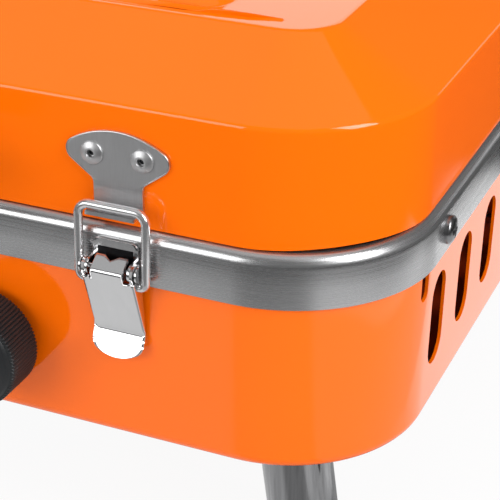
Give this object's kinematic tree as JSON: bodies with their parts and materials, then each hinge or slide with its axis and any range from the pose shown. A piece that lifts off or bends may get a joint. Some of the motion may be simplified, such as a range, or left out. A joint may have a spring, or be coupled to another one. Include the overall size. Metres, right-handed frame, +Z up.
{
  "type": "portable tabletop gas grill",
  "caption": "Portable tabletop gas grill: rounded pressed-steel base and hinged lid, steel trim band, draw latches, ribbed push-and-turn knobs, lift-out grate, drip tray and folding tube legs.",
  "frame": {"origin": "on the table under the middle of the overall box", "axes": "+X to the user's right, +Y from front to rear, +Z up"},
  "size_m": [0.4356, 0.3466, 0.1957],
  "materials": {
    "orange_paint": "glossy enamel",
    "band_steel": "brushed along its length",
    "latch_steel": "bright plated",
    "fastener_steel": "bright plated",
    "hinge_steel": "satin",
    "knob_plastic": "satin black",
    "stem_steel": "satin",
    "gas_brass": "machined",
    "burner_steel": "mill finish",
    "grate_enamel": "black enamel",
    "tray_aluminium": "satin",
    "leg_steel": "brushed along its length",
    "foot_rubber": "matt"
  },
  "bodies": {
    "base": {"base_shell": "orange_paint", "trim_band": "band_steel", "band_screws": "fastener_steel", "latch_bracket_left": "latch_steel", "latch_bracket_right": "latch_steel", "latch_pin_left": "latch_steel", "latch_pin_right": "latch_steel", "hinge_base_leaf_left": "hinge_steel", "hinge_base_leaf_right": "hinge_steel", "hinge_pin_left": "hinge_steel", "hinge_pin_right": "hinge_steel", "hinge_base_rivets": "fastener_steel", "valve_body_left": "gas_brass", "valve_body_right": "gas_brass", "valve_screws": "fastener_steel", "gas_manifold": "gas_brass", "gas_inlet": "gas_brass", "inlet_nut": "gas_brass", "burner_left": "burner_steel", "burner_right": "burner_steel", "burner_stand_left": "burner_steel", "burner_stand_right": "burner_steel", "flame_tamer_left": "burner_steel", "flame_tamer_right": "burner_steel", "tamer_rail_front": "burner_steel", "tamer_rail_rear": "burner_steel", "grate_brackets": "burner_steel", "tray_rail_left": "leg_steel", "tray_rail_right": "leg_steel", "leg_clamps": "leg_steel", "clamp_screws": "fastener_steel", "leg_stops": "leg_steel"},
    "lid": {"lid_shell": "orange_paint", "handle_grip": "knob_plastic", "handle_posts": "hinge_steel", "handle_screws": "fastener_steel", "strike_plate_left": "latch_steel", "strike_plate_right": "latch_steel", "strike_rivets": "fastener_steel", "hinge_lid_leaf_left": "hinge_steel", "hinge_lid_leaf_right": "hinge_steel", "hinge_lid_rivets": "fastener_steel"},
    "latch_lever_left": {"latch_lever_left": "latch_steel"},
    "latch_bail_left": {"latch_bail_left": "latch_steel"},
    "valve_stem_left": {"valve_stem_left": "stem_steel"},
    "knob_left": {"knob_left": "knob_plastic"},
    "leg_left": {"leg_frame_left": "leg_steel", "leg_feet_left": "foot_rubber"},
    "latch_lever_right": {"latch_lever_right": "latch_steel"},
    "latch_bail_right": {"latch_bail_right": "latch_steel"},
    "valve_stem_right": {"valve_stem_right": "stem_steel"},
    "knob_right": {"knob_right": "knob_plastic"},
    "leg_right": {"leg_frame_right": "leg_steel", "leg_feet_right": "foot_rubber"},
    "grate": {"cooking_grate": "grate_enamel"},
    "tray": {"drip_tray": "tray_aluminium"}
  },
  "joints": [
    {"name": "lid_hinge", "type": "hinge", "parent": "base", "child": "lid", "pos_m": [0, 0.15732, 0.1314], "axis": [-1, 0, 0], "range_deg": [0, 100]},
    {"name": "latch_lever_turn_left", "type": "hinge", "parent": "base", "child": "latch_lever_left", "pos_m": [-0.1235, -0.13978, 0.117], "axis": [-1, 0, 0], "range_deg": [0, 110]},
    {"name": "latch_bail_turn_left", "type": "hinge", "parent": "latch_lever_left", "child": "latch_bail_left", "pos_m": [-0.1235, -0.13878, 0.1118], "axis": [-1, 0, 0], "range_deg": [-143, 0]},
    {"name": "knob_push_left", "type": "slide", "parent": "base", "child": "valve_stem_left", "axis": [0, 1, 0], "range_m": [0, 0.003], "stiffness_N_per_m": 1500, "springref_m": -0.001},
    {"name": "knob_turn_left", "type": "hinge", "parent": "valve_stem_left", "child": "knob_left", "pos_m": [-0.074, -0.13478, 0.0789], "axis": [0, -1, 0], "range_deg": [0, 210]},
    {"name": "leg_fold_left", "type": "hinge", "parent": "base", "child": "leg_left", "pos_m": [-0.1722, 0.00922, 0.034], "axis": [0, -1, 0], "range_deg": [0, 95]},
    {"name": "latch_lever_turn_right", "type": "hinge", "parent": "base", "child": "latch_lever_right", "pos_m": [0.1235, -0.13978, 0.117], "axis": [-1, 0, 0], "range_deg": [0, 110]},
    {"name": "latch_bail_turn_right", "type": "hinge", "parent": "latch_lever_right", "child": "latch_bail_right", "pos_m": [0.1235, -0.13878, 0.1118], "axis": [-1, 0, 0], "range_deg": [-143, 0]},
    {"name": "knob_push_right", "type": "slide", "parent": "base", "child": "valve_stem_right", "axis": [0, 1, 0], "range_m": [0, 0.003], "stiffness_N_per_m": 1500, "springref_m": -0.001},
    {"name": "knob_turn_right", "type": "hinge", "parent": "valve_stem_right", "child": "knob_right", "pos_m": [0.074, -0.13478, 0.0789], "axis": [0, -1, 0], "range_deg": [0, 210]},
    {"name": "leg_fold_right", "type": "hinge", "parent": "base", "child": "leg_right", "pos_m": [0.1722, 0.00922, 0.034], "axis": [0, 1, 0], "range_deg": [0, 95]},
    {"name": "grate_lift", "type": "slide", "parent": "base", "child": "grate", "axis": [0, 0, 1], "range_m": [0, 0.045]},
    {"name": "tray_slide", "type": "slide", "parent": "base", "child": "tray", "axis": [0, -1, 0], "range_m": [0, 0.15]}
  ],
  "couplings": [
    {"joint": "latch_bail_turn_left", "follows": "latch_lever_turn_left", "ratio": -1.3},
    {"joint": "latch_bail_turn_right", "follows": "latch_lever_turn_right", "ratio": -1.3}
  ]
}
